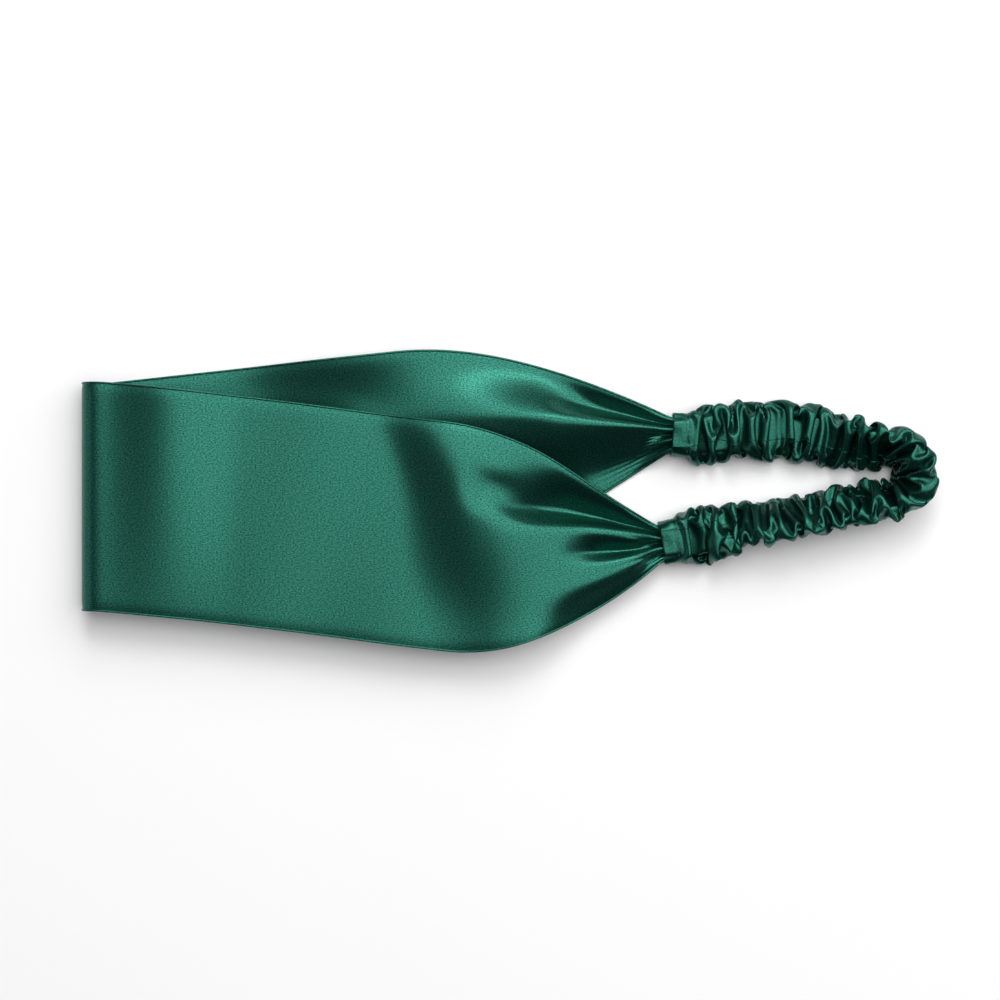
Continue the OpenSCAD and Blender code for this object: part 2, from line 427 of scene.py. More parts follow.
@dataclass(frozen=True)
class Route:
    """The line that the loop follows, the same as in the design."""

    fold_x: float = -116.0 * MM
    fold_y: float = 1.0 * MM
    fold_radius: float = 5.5 * MM
    rest_z: float = REST_Z
    mouth_z: float = 4.1 * MM
    back_length: float = 164.0 * MM
    front_length: float = 161.0 * MM
    back_mouth_y: float = 18.8 * MM
    front_mouth_y: float = -12.4 * MM
    back_heading: float = math.radians(-3.0)
    front_heading: float = math.radians(10.5)
    front_bow: float = 3.4 * MM
    turn_radius: float = 8.0 * MM
    arm_bow: float = 2.6 * MM
    mouth_length: float = 7.0 * MM
    casing_width: float = 14.5 * MM
    casing_height: float = 8.0 * MM
    turn_twist: float = math.radians(60.0)
    twist_from: float = 40.0
    twist_run: float = 24.0
    untwist_from: float = 30.0 * MM
    untwist_run: float = 22.0 * MM
    fill_run: float = 4.0 * MM

    @property
    def back_start(self) -> Array:
        """Middle of the back mouth, seen from above."""
        return np.array([self.fold_x + self.back_length, self.back_mouth_y])

    @property
    def front_start(self) -> Array:
        """Middle of the front mouth, seen from above."""
        return np.array([self.fold_x + self.front_length, self.front_mouth_y])

    @staticmethod
    def ahead(angle: Array | float) -> Array:
        """Unit vector along a heading."""
        return np.stack([np.cos(angle), np.sin(angle)], -1)

    @staticmethod
    def aside(angle: Array | float) -> Array:
        """Unit vector to the left of a heading."""
        return np.stack([-np.sin(angle), np.cos(angle)], -1)

    @property
    def turn_centre(self) -> Array:
        """Centre of the casing's turn: one radius inside both arms."""
        sides = np.stack([self.aside(self.back_heading), self.aside(self.front_heading)])
        limits = np.array([self.back_start @ sides[0] - self.turn_radius,
                           self.front_start @ sides[1] + self.turn_radius])
        return np.linalg.solve(sides, limits)

    @property
    def runs(self) -> tuple[float, float, float]:
        """Lengths of the back arm, the turn and the front arm."""
        back = (self.turn_centre - self.back_start) @ self.ahead(self.back_heading)
        front = (self.turn_centre - self.front_start) @ self.ahead(self.front_heading)
        angle = math.pi - self.front_heading + self.back_heading
        return float(back), self.turn_radius * angle, float(front)

    def casing(self, s: Array) -> tuple[Array, Array, Array, Array]:
        """Follow the casing from the back mouth.

        Args:
            s: distances along it.

        Returns:
            Centres (N by 3), headings, twists and how full the casing is, from 0 at a mouth to 1.
        """
        back, turn, front = self.runs
        whole = back + turn + front
        bow = self.arm_bow * np.sin(math.pi * np.clip(s / back, 0, 1)) ** 2
        first = (self.back_start + s[:, None] * self.ahead(self.back_heading)
                 + bow[:, None] * self.aside(self.back_heading))
        angle = self.back_heading - (turn / self.turn_radius) * np.clip((s - back) / turn, 0, 1)
        round_turn = self.turn_centre + self.turn_radius * self.aside(angle)
        last = self.front_start + (whole - s)[:, None] * self.ahead(self.front_heading)
        xy = np.where((s <= back)[:, None], first, np.where((s < back + turn)[:, None], round_turn, last))
        slope = self.arm_bow * math.pi / back * np.sin(2 * math.pi * np.clip(s / back, 0, 1))
        heading = np.where(s <= back, self.back_heading + np.arctan(slope), angle)
        twist = self.turn_twist * (smooth((s / MM - self.twist_from) / self.twist_run)
                                   - smooth((s - whole + self.untwist_from) / self.untwist_run))
        full = smooth((np.minimum(s, whole - s) - self.mouth_length + MM) / self.fill_run)
        tall = np.hypot(self.casing_width / 2 * np.sin(twist), self.casing_height / 2 * np.cos(twist))
        z = mix(self.mouth_z, tall, full)
        return np.column_stack([xy, z]), heading, twist, full


# ---------------------------------------------------------------- finishes


class Weave(Enum):
    """Which way the long threads of a satin lie, as the turn of its shine."""

    ALONG = 0.0
    ACROSS = 0.25


def grain_group() -> bpy.types.ShaderNodeTree:
    """Node group for the fine grain of woven satin.

    Returns:
        A group from cloth coordinates to a mask of light flecks and a height.
    """
    found = bpy.data.node_groups.get("satin_grain")
    if found:
        return found
    tree = bpy.data.node_groups.new("satin_grain", "ShaderNodeTree")
    tree.interface.new_socket("Cloth", in_out="INPUT", socket_type="NodeSocketVector")
    for name in ("Fleck", "Height"):
        tree.interface.new_socket(name, in_out="OUTPUT", socket_type="NodeSocketFloat")
    start = add_node(tree, "NodeGroupInput")
    flecks_a_metre = (1900.0, 3000.0, 1.0)
    stretch = add_node(tree, "ShaderNodeMapping", {"Vector": start.outputs["Cloth"], "Scale": flecks_a_metre})
    slub = add_node(tree, "ShaderNodeTexNoise", {"Vector": stretch.outputs["Vector"], "Scale": 1.0,
                                                 "Detail": 2.0, "Roughness": 0.6})
    fleck = add_node(tree, "ShaderNodeMapRange", {"Value": slub.outputs["Fac"], "From Min": 0.3, "From Max": 0.7})
    add_node(tree, "NodeGroupOutput", {"Fleck": fleck.outputs["Result"], "Height": slub.outputs["Fac"]})
    return tree


@dataclass(frozen=True)
class SatinFinish:
    """Glossy woven cloth with a shine that is drawn out across its long threads."""

    name: str
    color: tuple[float, float, float]
    roughness: float = 0.36
    metallic: float = 0.92
    anisotropic: float = 0.35
    weave: Weave = Weave.ALONG
    grain: float = 0.12
    grain_depth: float = 0.1 * MM
    speckle: float = 0.75
    # white added to the light flecks of the grain: painted glints of the satin's shine
    painted_glint: float = 0.016

    def material(self) -> bpy.types.Material:
        """Build the material."""
        mat, tree, shader = new_material(self.name)
        cloth = add_node(tree, "ShaderNodeUVMap", uv_map="cloth")
        grain = add_node(tree, "ShaderNodeGroup", {"Cloth": cloth.outputs["UV"]}, node_tree=grain_group())
        # Dark and light flecks are the satin's own woven grain; the white added to the light flecks is a painted
        # glint.
        dark = [c * (1 - self.speckle) for c in self.color]
        light = [c * (1 + self.speckle) + self.painted_glint * self.speckle for c in self.color]
        lift = add_node(tree, "ShaderNodeBump", {"Strength": self.grain, "Distance": self.grain_depth,
                                                 "Height": grain.outputs["Height"]})
        threads = add_node(tree, "ShaderNodeTangent", direction_type="UV_MAP", uv_map="cloth")
        set_inputs(tree, shader, {
            "Base Color": tint(tree, grain.outputs["Fleck"], dark, light), "Normal": lift.outputs["Normal"],
            "Tangent": threads.outputs["Tangent"], "Metallic": self.metallic, "Roughness": self.roughness,
            "Anisotropic": self.anisotropic, "Anisotropic Rotation": self.weave.value})
        return mat


@dataclass(frozen=True)
class ThreadFinish:
    """Twisted sewing thread."""

    name: str
    color: tuple[float, float, float]
    twist: float = 2600.0
    dark: float = 0.6
    light: float = 1.3

    def material(self) -> bpy.types.Material:
        """Build the material."""
        mat, tree, shader = new_material(self.name)
        place = add_node(tree, "ShaderNodeTexCoord")
        ply = add_node(tree, "ShaderNodeTexWave", {"Scale": self.twist, "Vector": place.outputs["Object"]},
                       wave_type="BANDS", bands_direction="DIAGONAL")
        dark, light = [c * self.dark for c in self.color], [c * self.light for c in self.color]
        set_inputs(tree, shader, {"Base Color": tint(tree, ply.outputs["Fac"], dark, light), "Roughness": 0.6})
        return mat


@dataclass(frozen=True)
class ElasticFinish:
    """Woven elastic, with fine threads across its ribs."""

    name: str
    color: tuple[float, float, float]
    picks: float = 480.0
    dark: float = 0.72

    def material(self) -> bpy.types.Material:
        """Build the material."""
        mat, tree, shader = new_material(self.name)
        cloth = add_node(tree, "ShaderNodeUVMap", uv_map="cloth")
        pick = add_node(tree, "ShaderNodeTexWave", {"Scale": self.picks, "Distortion": 0.4,
                                                    "Vector": cloth.outputs["UV"]}, bands_direction="X")
        lift = add_node(tree, "ShaderNodeBump", {"Strength": 0.4, "Distance": 0.1 * MM,
                                                 "Height": pick.outputs["Fac"]})
        shade = tint(tree, pick.outputs["Fac"], [c * self.dark for c in self.color], self.color)
        set_inputs(tree, shader, {"Base Color": shade, "Normal": lift.outputs["Normal"], "Roughness": 0.8})
        return mat


@dataclass(frozen=True)
class TableFinish:
    """Pale matt board with a trace of unevenness."""

    name: str
    color: tuple[float, float, float]
    patches: float = 9.0
    dark: float = 0.985

    def material(self) -> bpy.types.Material:
        """Build the material."""
        mat, tree, shader = new_material(self.name)
        place = add_node(tree, "ShaderNodeTexCoord")
        tone = add_node(tree, "ShaderNodeTexNoise", {"Scale": self.patches, "Vector": place.outputs["Object"]})
        shade = tint(tree, tone.outputs["Fac"], [c * self.dark for c in self.color], self.color)
        set_inputs(tree, shader, {"Base Color": shade, "Roughness": 0.85})
        return mat


# ---------------------------------------------------------------- the band


@dataclass(frozen=True)
class BandSizes:
    """Sizes of the satin band."""

    width: float = 65.0 * MM
    cut_length: float = 360.0 * MM
    cut_end: float = 24.0 * MM
    back_gather: float = 80.0 * MM
    front_gather: float = 62.0 * MM
    tail: float = 5.5 * MM
    tail_width: float = 8.8 * MM
    tail_lift: float = 0.9 * MM
    pleat_pitch: float = 0.62
    pleat_height: float = 1.15 * MM
    pleat_start: float = 9.0 * MM
    edge_calm: float = 0.7
    front_lift: float = 4.2 * MM
    back_lift: float = 2.6 * MM
    front_clear: float = 4.2 * MM
    panel_gap: float = 0.28 * MM
    edge_radius: float = 0.34 * MM
    thread_radius: float = 0.2 * MM
    along: float = 2.4 * MM
    across: int = 37
    climb_run: float = 50.0 * MM
    turn_run: float = 40.0 * MM
    tail_run: float = 1.5 * MM
    lift_run: float = 60.0 * MM
    calm_run: float = 30.0 * MM
    clear_run: float = 9.0 * MM
    floor_ease: float = 0.6 * MM
    full_half: float = 22.0 * MM
    drift: float = 0.16 * MM
    hold: float = 0.5


@dataclass(frozen=True)
class Fold:
    """A ridge or a valley of the cloth that runs out of a mouth and fades.

    Attributes:
        far: place across the band where it fades, from -1 at the bottom edge to 1 at the top edge.
        near: place across at the mouth.
        above: width of its upper slope, in the same measure.
        below: width of its lower slope.
        start: distance from the mouth up to which it is full.
        reach: distance from the mouth at which it has faded.
        height: its height, below zero for a valley.
        crease: 0 for a round fold, 1 for a sharp one.
    """

    far: float
    near: float
    above: float
    below: float
    start: float
    reach: float
    height: float
    crease: float = 0.0

    def rise(self, t: Array, d: Array) -> Array:
        """Height of the fold.

        Args:
            t: places across.
            d: distances from the mouth.

        Returns:
            A height for each place, in metres.
        """
        at = mix(self.near, self.far, np.clip(d / self.reach, 0, 1))
        x = (t - at) / np.where(t > at, self.above, self.below)
        profile = mix(bump(x), 1 - np.sin(math.pi / 2 * np.minimum(1, np.abs(x))), self.crease)
        return self.height * profile * smooth((self.reach - d) / (self.reach - self.start))


FRONT_FOLDS = (Fold(0.30, 0.56, 0.62, 0.22, 34 * MM, 50 * MM, -7.4 * MM, 0.8),
               Fold(-0.08, -0.18, 0.38, 0.22, 14 * MM, 30 * MM, -5.6 * MM, 0.6),
               Fold(-1.06, -1.0, 0.52, 0.30, 20 * MM, 38 * MM, -4.8 * MM))
BACK_FOLDS = (Fold(0.46, 0.32, 0.60, 1.05, 36 * MM, 92 * MM, 8.0 * MM, 0.4),
              Fold(0.64, 0.56, 0.38, 0.22, 18 * MM, 40 * MM, -6.6 * MM, 0.5))


@dataclass(frozen=True)
class Puff:
    """Loose cloth of the front half: a puff before the gathers, a dimple on it, and a swell by the fold.

    Lengths are in millimetres, and places across go from -1 at the bottom edge to 1 at the top edge.
    """

    crest: float = 52.5
    crest_lean: float = 8.5
    crest_sway: float = 2.0
    sway_turn: float = 3.4
    fold_side: float = 22
    mouth_side: float = 32
    low: float = 0.8
    high: float = 4.0
    high_across: float = 0.42
    high_width: float = 1.3
    dimple: float = 2.2
    dimple_across: float = 0.47
    dimple_width: float = 0.28
    dimple_at: float = 48
    dimple_reach: float = 11
    swell: float = 2.7
    swell_middle: float = 0.62
    swell_lean: float = 0.42
    swell_at: float = 20
    swell_reach: float = 20

    def rise(self, t: Array, d: Array, u: Array) -> Array:
        """Height of the loose cloth.

        Args:
            t: places across.
            d: distances from the mouth, in metres.
            u: distances from the fold, in metres.

        Returns:
            A height for each place, in metres.
        """
        crest = d / MM - self.crest - self.crest_lean * t + self.crest_sway * np.sin(self.sway_turn * t)
        height = self.low + self.high * bump((t - self.high_across) / self.high_width)
        puff = height * MM * bump(crest / np.where(crest > 0, self.fold_side, self.mouth_side))
        dimple = (self.dimple * MM * bump((t - self.dimple_across) / self.dimple_width)
                  * bump((d / MM - self.dimple_at) / self.dimple_reach))
        swell = (self.swell * MM * (self.swell_middle + self.swell_lean * t)
                 * bump((u / MM - self.swell_at) / self.swell_reach))
        return puff - dimple + swell


@dataclass(frozen=True)
class Curl:
    """The back half's top edge where it turns up, in the same measures as the puff."""

    height: float = 5.5
    across: float = 0.45
    width: float = 0.8
    at: float = 72
    reach: float = 46

    def rise(self, t: Array, u: Array) -> Array:
        """Height at places t across and distances u from the fold."""
        return self.height * MM * smooth((t - self.across) / self.width) * bump((u / MM - self.at) / self.reach)


class SatinBand:
    """The gathered satin band: an outer and an inner panel on one relaxed shape."""

    def __init__(self, route: Route, sizes: BandSizes, rng: np.random.Generator) -> None:
        """Keep what the band is made from.

        Args:
            route: the line that it follows.
            sizes: its sizes.
            rng: source of the random numbers.
        """
        self.route, self.sizes, self.rng = route, sizes, rng
        self.flat_area = 0.0
        self.from_mouth = np.zeros(0)

    @staticmethod
    def _taper(d: Array, gather: Array | float) -> Array:
        """How far the band has widened at distances from the mouth, from 0 to 1."""
        return np.sin(math.pi / 2 * np.clip(d / gather, 0, 1))

    def _half(self, u: Array, front: bool) -> tuple[Array, Array, Array]:
        """Follow one half of the band from the fold.

        Args:
            u: distances from the fold.
            front: true for the front half.

        Returns:
            Centres (N by 3), half widths and turns.
        """
        r, z = self.route, self.sizes
        length = r.front_length if front else r.back_length
        gather = z.front_gather if front else z.back_gather
        mouth_y = r.front_mouth_y if front else r.back_mouth_y
        heading = r.front_heading if front else r.back_heading
        d = length - u
        y = mix(r.fold_y, mouth_y, u / length)
        if front:
            y = y - r.front_bow * np.sin(math.pi * np.minimum(1, u / length) ** 2)
        up = mix(r.rest_z + (2 * r.fold_radius if front else 0.0), r.mouth_z, smooth(1 - d / z.climb_run))
        up = up + z.tail_lift * smooth(-d / z.tail_run)
        wide = mix(z.tail_width, z.width, self._taper(d, gather))
        return np.column_stack([r.fold_x + u, y, up]), wide / 2, heading * smooth(1 - d / z.turn_run)

    def _drift(self, t: Array, u: Array) -> Array:
        """Slow unevenness of cloth that lies loose, as a sum of a few long waves.

        Args:
            t: places across.
            u: distances from the fold.

        Returns:
            A height for each place.
        """
        waves, shortest, longest, most_lean, last_start = 5, 38, 95, 1.6, 6.28
        total = np.zeros(np.broadcast(t, u).shape)
        for _ in range(waves):
            length = self.rng.uniform(shortest, longest) * MM
            lean = self.rng.uniform(-most_lean, most_lean)
            start = self.rng.uniform(0, last_start)
            total = total + self.sizes.drift * np.sin(2 * math.pi * u / length + lean * t + start)
        return total

    def _heights(self, t: Array, u: Array, half: Array, is_front: Array) -> Array:
        """Height of the folds and pleats above a level sheet.

        Args:
            t: places across, 1 by cols.
            u: distances from the fold, rows by 1.
            half: half the band's width at each row.
            is_front: rows by 1, true on the front half.

        Returns:
            Rows by cols heights.
        """
        z, d = self.sizes, self.from_mouth[:, None]
        near = smooth(1 - np.maximum(d, 0) / z.pleat_start)
        scale = np.minimum(1.0, half / z.full_half)[:, None] * (1 - near)
        front_folds = sum(fold.rise(t, d) for fold in FRONT_FOLDS) * scale + Puff().rise(t, d, u)
        back_folds = sum(fold.rise(t, d) for fold in BACK_FOLDS) * scale + Curl().rise(t, u)
        lift = smooth(1 - d / z.lift_run) * (1 - near) * np.where(is_front, z.front_lift, z.back_lift * (t - 0.5))
        wave = -np.cos(2 * math.pi * t / z.pleat_pitch) * z.pleat_height * near * (1 - z.edge_calm * t ** 2)
        folds = np.where(is_front, front_folds, back_folds)
        return wave + lift + folds + self._drift(t, u) * smooth(u / z.calm_run)

    def _cut(self, points: Array, t: Array, is_front: Array) -> Array:
        """Place the net's points on the flat cut, and note the cut's area.

        Args:
            points: rows by cols by 3.
            t: places across, 1 by cols.
            is_front: rows by 1, true on the front half.

        Returns:
            Rows by cols by 2, the distance along the cut and across it.
        """
        z = self.sizes
        quarter = z.across // 4
        steps = np.linalg.norm(np.diff(points[:, quarter:-quarter], axis=0), axis=2).mean(1)
        run = np.concatenate([[0.0], np.cumsum(steps)])
        run *= z.cut_length / run[-1]
        gather = np.where(is_front[:, 0], z.front_gather, z.back_gather)
        cut = mix(z.cut_end, z.width, self._taper(self.from_mouth, gather))
        self.flat_area = float(np.sum((cut[1:] + cut[:-1]) / 2 * np.diff(run)))
        return np.stack([np.broadcast_to(run[:, None], (len(run), z.across)), cut[:, None] / 2 * t], -1)

    def start_shape(self) -> tuple[Array, Array]:
        """Lay the cloth out along the loop.

        Returns:
            Points (rows by cols by 3) and flat places (rows by cols by 2).
        """
        r, z = self.route, self.sizes
        back_u = np.linspace(r.back_length + z.tail, 0, round((r.back_length + z.tail) / z.along))
        front_u = np.linspace(0, r.front_length + z.tail, round((r.front_length + z.tail) / z.along))
        turn_angle = np.linspace(0, math.pi, round(math.pi * r.fold_radius / z.along) + 3)[1:-1]
        back, front = self._half(back_u, False), self._half(front_u, True)
        n = len(turn_angle)
        fold_centre = np.column_stack([r.fold_x - r.fold_radius * np.sin(turn_angle), np.full(n, r.fold_y),
                                       r.rest_z + r.fold_radius * (1 - np.cos(turn_angle))])
        centre = np.concatenate([back[0], fold_centre, front[0]])
        half = np.concatenate([back[1], np.full(n, z.width / 2), front[1]])
        turn = np.concatenate([back[2], np.zeros(n), front[2]])
        self.from_mouth = np.concatenate([r.back_length - back_u, np.full(n, r.front_length),
                                          r.front_length - front_u])
        t = np.linspace(-1, 1, z.across)[None]
        side = np.column_stack([-np.sin(turn), np.cos(turn), np.zeros(len(turn))])
        points = centre[:, None] + side[:, None] * (half[:, None] * t)[..., None]
        is_front = (np.arange(len(centre)) >= len(back_u) + n)[:, None]
        u = np.concatenate([back_u, np.zeros(n), front_u])[:, None]
        points[..., 2] += self._heights(t, u, half, is_front)
        over_back = mix(r.rest_z, z.front_clear, smooth(self.from_mouth[:, None] / z.clear_run))
        lowest = np.where(is_front, over_back, r.rest_z)
        points[..., 2] = lowest + soft_floor(points[..., 2] - lowest, z.floor_ease)
        return points, self._cut(points, t, is_front)

    def relax(self) -> tuple[Array, Array]:
        """Let the gathers find their folds.

        Returns:
            Points (rows by cols by 3) of the middle of the cloth, and their flat places.
        """
        points, flat = self.start_shape()
        rows, cols = points.shape[:2]
        target = points.reshape(-1, 3).copy()
        places = flat.reshape(-1, 2)
        net = Net(points.reshape(-1, 3), rows, cols, closed=False)
        sewn_below = 0.5 * MM
        net.weight = np.repeat(np.where(self.from_mouth < sewn_below, 0.0, 1.0), cols)
        for down, over, pull in ((1, 0, 0.8), (0, 1, 0.8), (1, 1, 0.3), (1, -1, 0.3),
                                 (2, 0, 0.1), (0, 2, 0.1)):
            net.join(places, down, over, pull)

        def stay(p: Array, _step: int) -> None:
            """Draw the cloth back to the shape it was laid in, and keep it above the table."""
            p += (target - p) * self.sizes.hold
            np.maximum(p[:, 2], self.route.rest_z, out=p[:, 2])

        net.rules.append(stay)
        net.settle(60, keep=0.8, fall=FALL)
        return net.points.reshape(rows, cols, 3), flat

    def build(self) -> dict[str, bpy.types.Object]:
        """Make both panels, their seamed edges and the gathering threads.

        Returns:
            The pieces by name.
        """
        middle, flat = self.relax()
        rows, cols = middle.shape[:2]
        along = np.gradient(middle, axis=0)
        across = np.gradient(middle, axis=1)
        normal = np.cross(along, across)
        normal /= np.linalg.norm(normal, axis=-1, keepdims=True) + TINY
        t = np.linspace(-1, 1, cols)
        edge_power, least = 24, 0.02
        apart = self.sizes.panel_gap * np.sqrt(np.clip(1 - np.abs(t) ** edge_power, least, 1))[None, :, None]
        grid = np.arange(rows * cols).reshape(rows, cols)
        quads = np.stack([grid[:-1, :-1], grid[1:, :-1], grid[1:, 1:], grid[:-1, 1:]], -1).reshape(-1, 4)
        pieces = {}
        for name, side in (("outer_panel", -1.0), ("inner_panel", 1.0)):
            points = (middle + side * apart * normal).reshape(-1, 3)
            faces = quads if side > 0 else quads[:, ::-1]
            piece = add_mesh(name, points, faces.tolist(), flat.reshape(-1, 2))
            subdivide(piece, 2)
            pieces[name] = piece
        for name, col in (("top_edge", -1), ("bottom_edge", 0)):
            pieces[name] = thread_mesh(name, refine(middle[:, col]), self.sizes.edge_radius)
        for name, row in (("back_gathers", 1), ("front_gathers", -2)):
            line = middle[row] - normal[row] * (self.sizes.panel_gap + self.sizes.thread_radius)
            pieces[name] = thread_mesh(name, refine(line), self.sizes.thread_radius)
        LOG.info("band: %d by %d net, %.0f mm long, cut %.4f square metres", rows, cols,
                 self.sizes.cut_length / MM, self.flat_area)
        return pieces

    def dress(self, pieces: dict[str, bpy.types.Object], finish: SatinFinish, thread: ThreadFinish) -> None:
        """Give the pieces their cloth and thread, hang them on the band's empty and hide the design parts they
        stand for.

        Args:
            pieces: the band's pieces by name.
            finish: the cloth.
            thread: the gathering thread.
        """
        cloth_mat, thread_mat = finish.material(), thread.material()
        cad = {"outer_panel": "outer_satin_panel", "inner_panel": "inner_satin_panel",
               "top_edge": "top_edge_seam", "bottom_edge": "bottom_edge_seam",
               "back_gathers": "back_gathering_thread", "front_gathers": "front_gathering_thread"}
        for name, piece in pieces.items():
            piece.data.materials.append(thread_mat if "gathers" in name else cloth_mat)
            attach(piece, "band")
            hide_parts(cad[name])


# ---------------------------------------------------------------- stitches


def stitch_tree() -> bpy.types.NodeTree:
    """Build the node tree that lays stitches along a line.

    Returns:
        A tree with inputs for the spacing, length, width and material of the stitches.
    """
    found = bpy.data.node_groups.get("stitch_row")
    if found:
        return found
    tree = bpy.data.node_groups.new("stitch_row", "GeometryNodeTree")
    face = tree.interface
    face.new_socket("Line", in_out="INPUT", socket_type="NodeSocketGeometry")
    for name in ("Spacing", "Stitch Length", "Stitch Width", "Uneven"):
        face.new_socket(name, in_out="INPUT", socket_type="NodeSocketFloat")
    face.new_socket("Thread", in_out="INPUT", socket_type="NodeSocketMaterial")
    face.new_socket("Stitches", in_out="OUTPUT", socket_type="NodeSocketGeometry")
    given = add_node(tree, "NodeGroupInput").outputs
    curve = add_node(tree, "GeometryNodeMeshToCurve", {"Mesh": given["Line"]})
    spaced = add_node(tree, "GeometryNodeResampleCurve",
                      {"Curve": curve.outputs["Curve"], "Length": given["Spacing"]}, mode="LENGTH")
    tangent = add_node(tree, "GeometryNodeInputTangent")
    outwards = add_node(tree, "GeometryNodeInputNamedAttribute", {"Name": "outwards"}, data_type="FLOAT_VECTOR")
    lengthways = add_node(tree, "FunctionNodeAlignRotationToVector", {"Vector": tangent.outputs["Tangent"]},
                          axis="X")
    upright = add_node(tree, "FunctionNodeAlignRotationToVector",
                       {"Rotation": lengthways.outputs["Rotation"], "Vector": outwards.outputs["Attribute"]},
                       axis="Z", pivot_axis="X")
    stitch = add_node(tree, "GeometryNodeMeshUVSphere", {"Segments": 8, "Rings": 6, "Radius": 0.5})
    shape = add_node(tree, "ShaderNodeCombineXYZ", {"X": given["Stitch Length"], "Y": given["Stitch Width"],
                                                    "Z": given["Stitch Width"]})
    least = add_node(tree, "ShaderNodeMath", {0: 1.0, 1: given["Uneven"]}, operation="SUBTRACT")
    vary = add_node(tree, "FunctionNodeRandomValue", {2: least.outputs["Value"], 3: 1.0, "Seed": SEED},
                    data_type="FLOAT")
    sized = add_node(tree, "ShaderNodeVectorMath", {"Vector": shape.outputs["Vector"], "Scale": vary.outputs[1]},
                     operation="SCALE")
    place = add_node(tree, "GeometryNodeInstanceOnPoints",
                     {"Points": spaced.outputs["Curve"], "Instance": stitch.outputs["Mesh"],
                      "Rotation": upright.outputs["Rotation"], "Scale": sized.outputs["Vector"]})
    real = add_node(tree, "GeometryNodeRealizeInstances", {"Geometry": place.outputs["Instances"]})
    dyed = add_node(tree, "GeometryNodeSetMaterial", {"Geometry": real.outputs["Geometry"],
                                                      "Material": given["Thread"]})
    add_node(tree, "NodeGroupOutput", {"Stitches": dyed.outputs["Geometry"]})
    return tree


@dataclass(frozen=True)
class StitchRow:
    """One row of stitches along a line on cloth."""

    spacing: float = 1.5 * MM
    length: float = 1.15 * MM
    width: float = 0.26 * MM
    uneven: float = 0.15

    def sew(self, name: str, lines: list[tuple[Array, Array]], thread: bpy.types.Material) -> bpy.types.Object:
        """Sew stitches along lines.

        Args:
            name: name of the piece.
            lines: points and outward directions of each line.
            thread: material of the stitches.

        Returns:
            The stitches as one plain mesh.
        """
        mesh = bpy.data.meshes.new(name)
        points = np.concatenate([line for line, _ in lines])
        edges, start = [], 0
        for line, _ in lines:
            edges += [(start + k, start + k + 1) for k in range(len(line) - 1)]
            start += len(line)
        mesh.from_pydata([tuple(p) for p in points], edges, [])
        outwards = mesh.attributes.new("outwards", "FLOAT_VECTOR", "POINT")
        outwards.data.foreach_set("vector", np.concatenate([way for _, way in lines]).astype(np.float32).ravel())
        piece = bpy.data.objects.new(name, mesh)
        bpy.context.scene.collection.objects.link(piece)
        mod = piece.modifiers.new("stitches", "NODES")
        mod.node_group = stitch_tree()
        values = {"Spacing": self.spacing, "Stitch Length": self.length, "Stitch Width": self.width,
                  "Uneven": self.uneven, "Thread": thread}
        for item in mod.node_group.interface.items_tree:
            if item.item_type == "SOCKET" and item.in_out == "INPUT" and item.name in values:
                mod[item.identifier] = values[item.name]
        bake(piece)
        piece.data.polygons.foreach_set("use_smooth", [True] * len(piece.data.polygons))
        return piece


# ---------------------------------------------------------------- the casing


@dataclass(frozen=True)
class CasingSizes:
    """Sizes of the ruched casing."""

    fullness: float = 2.15
    around: float = 40.0 * MM
    cols: int = 48
    room_wide: float = 0.9 * MM
    room_tall: float = 1.1 * MM
    mouth_square: float = 0.76
    elastic_width: float = 10.0 * MM
    elastic_thick: float = 1.1 * MM
    elastic_drop: float = 1.5 * MM
    mouth_width: float = 12.6 * MM
    mouth_height: float = 7.0 * MM
    seam_angle: float = math.radians(115)
    hem: float = 2.5 * MM
    hem_lip: float = 0.45 * MM
    stitch_at: float = 4.3 * MM
    seam_radius: float = 0.16 * MM
    cloth_gap: float = 0.68 * MM
    rest_z: float = 0.3 * MM
    air: float = 0.5 * MM
    elastic_end: float = 1.5 * MM


